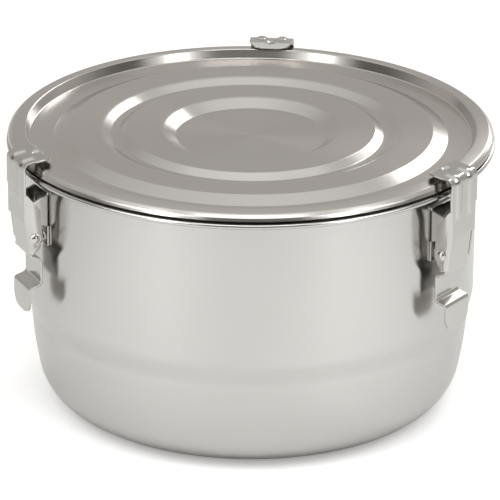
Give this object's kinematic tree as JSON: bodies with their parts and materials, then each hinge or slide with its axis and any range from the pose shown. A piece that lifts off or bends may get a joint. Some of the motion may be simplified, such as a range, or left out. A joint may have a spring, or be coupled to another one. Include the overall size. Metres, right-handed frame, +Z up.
{
  "type": "food canister",
  "caption": "Round stainless food canister with a ringed, gasketed lid clamped by over-centre toggle latches with ribbed hooks.",
  "frame": {"origin": "centre of the flat base the canister stands on", "axes": "+Z up through the lid; -Y to the front, between the right and left latches"},
  "size_m": [0.28, 0.2868, 0.1682],
  "materials": {
    "polished_stainless_body": "polished",
    "polished_stainless_lid": "polished",
    "bright_stainless_latch": "bright",
    "bright_steel_pins": "bright",
    "silicone_rubber": "matte"
  },
  "bodies": {
    "canister": {"canister_body": "polished_stainless_body", "rolled_lip": "polished_stainless_body", "latch_right_bracket": "bright_stainless_latch", "latch_right_pivot_pin": "bright_steel_pins", "latch_left_bracket": "bright_stainless_latch", "latch_left_pivot_pin": "bright_steel_pins", "latch_rear_bracket": "bright_stainless_latch", "latch_rear_pivot_pin": "bright_steel_pins"},
    "lid": {"lid": "polished_stainless_lid", "lid_gasket": "silicone_rubber"},
    "right_lever": {"latch_right_lever": "bright_stainless_latch", "latch_right_rivet_left": "bright_steel_pins", "latch_right_rivet_right": "bright_steel_pins"},
    "right_hook": {"latch_right_hook": "bright_stainless_latch"},
    "left_lever": {"latch_left_lever": "bright_stainless_latch", "latch_left_rivet_left": "bright_steel_pins", "latch_left_rivet_right": "bright_steel_pins"},
    "left_hook": {"latch_left_hook": "bright_stainless_latch"},
    "rear_lever": {"latch_rear_lever": "bright_stainless_latch", "latch_rear_rivet_left": "bright_steel_pins", "latch_rear_rivet_right": "bright_steel_pins"},
    "rear_hook": {"latch_rear_hook": "bright_stainless_latch"}
  },
  "joints": [
    {"name": "lid_lift", "type": "slide", "parent": "canister", "child": "lid", "axis": [0, 0, 1], "range_m": [0, 0.02]},
    {"name": "right_lever_swing", "type": "hinge", "parent": "canister", "child": "right_lever", "pos_m": [0.11493, -0.08047, 0.136], "axis": [-0.5736, -0.8192, 0], "range_deg": [0, 45]},
    {"name": "right_hook_swing", "type": "hinge", "parent": "right_lever", "child": "right_hook", "pos_m": [0.11394, -0.07978, 0.1206], "axis": [0.5736, 0.8192, 0], "range_deg": [0, 125]},
    {"name": "left_lever_swing", "type": "hinge", "parent": "canister", "child": "left_lever", "pos_m": [-0.12715, -0.05929, 0.136], "axis": [-0.4226, 0.9063, 0], "range_deg": [0, 45]},
    {"name": "left_hook_swing", "type": "hinge", "parent": "left_lever", "child": "left_hook", "pos_m": [-0.12607, -0.05879, 0.1206], "axis": [0.4226, -0.9063, 0], "range_deg": [0, 125]},
    {"name": "rear_lever_swing", "type": "hinge", "parent": "canister", "child": "rear_lever", "pos_m": [0.01223, 0.13977, 0.136], "axis": [0.9962, -0.0872, 0], "range_deg": [0, 45]},
    {"name": "rear_hook_swing", "type": "hinge", "parent": "rear_lever", "child": "rear_hook", "pos_m": [0.01212, 0.13857, 0.1206], "axis": [-0.9962, 0.0872, 0], "range_deg": [0, 125]}
  ],
  "couplings": [
    {"joint": "right_lever_swing", "follows": "lid_lift", "rad_per_m": 39.26},
    {"joint": "right_hook_swing", "follows": "lid_lift", "rad_per_m": 109.08},
    {"joint": "left_lever_swing", "follows": "lid_lift", "rad_per_m": 39.26},
    {"joint": "left_hook_swing", "follows": "lid_lift", "rad_per_m": 109.08},
    {"joint": "rear_lever_swing", "follows": "lid_lift", "rad_per_m": 39.26},
    {"joint": "rear_hook_swing", "follows": "lid_lift", "rad_per_m": 109.08}
  ]
}
